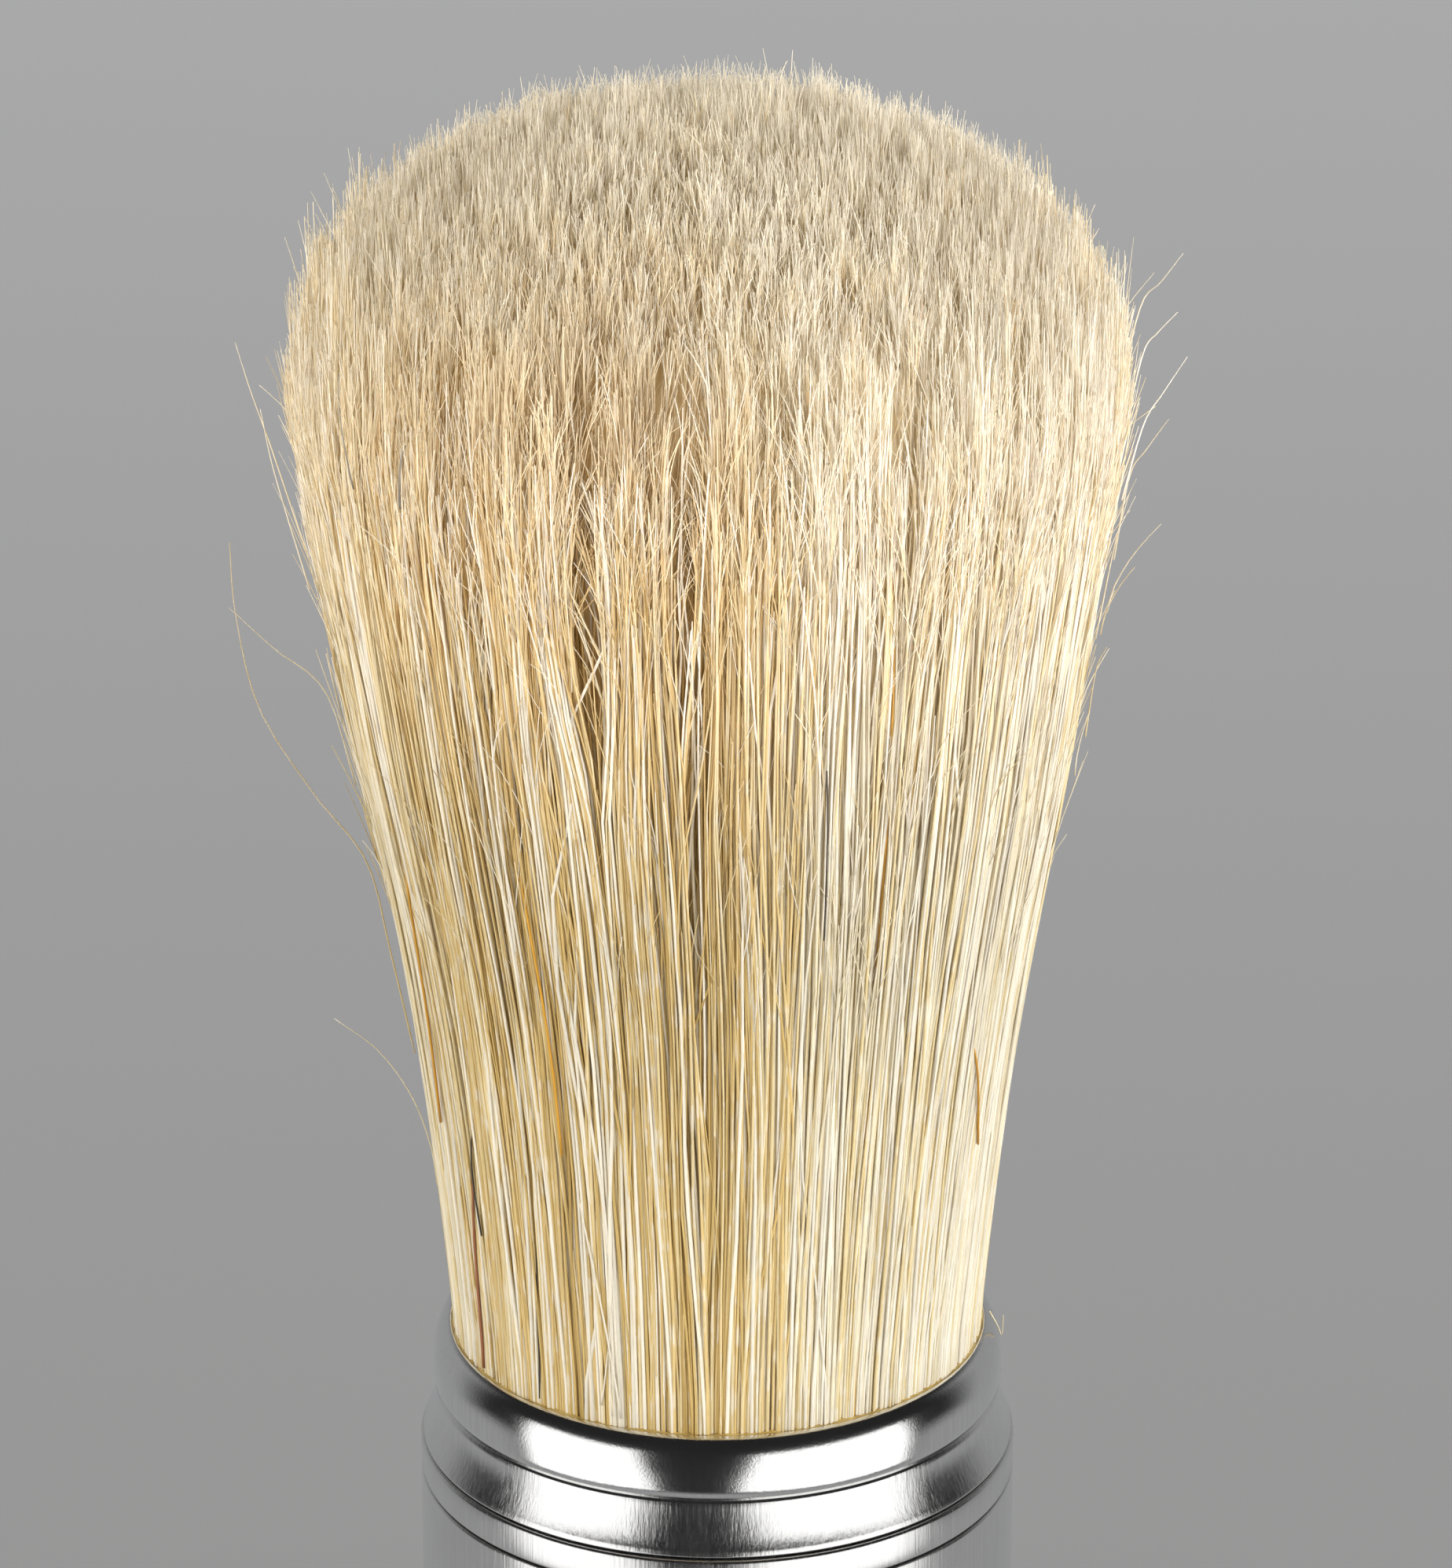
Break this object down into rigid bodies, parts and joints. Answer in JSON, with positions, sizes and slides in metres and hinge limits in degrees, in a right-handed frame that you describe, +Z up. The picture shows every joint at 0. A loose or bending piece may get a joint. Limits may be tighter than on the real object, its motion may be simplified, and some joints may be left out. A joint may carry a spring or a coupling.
{
  "type": "shaving brush",
  "caption": "Shaving brush: dense boar bristle knot with a fluffed bulb, set in a polished lipped ferrule that screws into a waisted, turned aluminium handle with a padded foot.",
  "frame": {"origin": "centre of the foot pad's underside, on the brush's axis", "axes": "+Z up along the brush's axis, from the foot to the tips of the bristles"},
  "size_m": [0.0398, 0.0398, 0.1118],
  "materials": {
    "bristle_tips": "matte",
    "bristle_shafts": "satin",
    "binding_thread": "matte",
    "amber_resin": "gloss",
    "white_nylon": "satin",
    "polished_metal": "polished",
    "brushed_metal": "satin",
    "steel": "satin",
    "brass": "satin",
    "black_rubber": "matte"
  },
  "bodies": {
    "handle": {"handle_body": "brushed_metal", "trim_ring": "polished_metal", "thread_insert": "brass", "handle_weight": "steel", "weight_washer": "steel", "base_gasket": "black_rubber", "base_cap": "brushed_metal", "base_screw": "steel", "foot_pad": "black_rubber"},
    "seal": {"seal_washer": "black_rubber"},
    "knot_holder": {"ferrule": "polished_metal", "knot_stud": "steel", "stud_washer": "steel", "stud_nut": "steel", "knot_cup": "white_nylon", "resin_bed": "amber_resin", "root_binding": "binding_thread", "resin_ring": "amber_resin", "bristle_roots": "bristle_shafts"},
    "bristle_tips": {"bristle_bulb": "bristle_tips"}
  },
  "joints": [
    {"name": "knot_lift", "type": "slide", "parent": "handle", "child": "seal", "axis": [0, 0, 1], "range_m": [0, 0.01]},
    {"name": "knot_unscrew", "type": "hinge", "parent": "seal", "child": "knot_holder", "pos_m": [0, 0, 0.04415], "axis": [0, 0, 1], "range_deg": [0, 2880]},
    {"name": "bristle_flex", "type": "hinge", "parent": "knot_holder", "child": "bristle_tips", "pos_m": [0, 0, 0.0555], "axis": [0, 1, 0], "range_deg": [-20, 20], "stiffness_Nm_per_rad": 0.04}
  ],
  "couplings": [
    {"joint": "knot_lift", "follows": "knot_unscrew", "m_per_rad": 0.00019894}
  ]
}
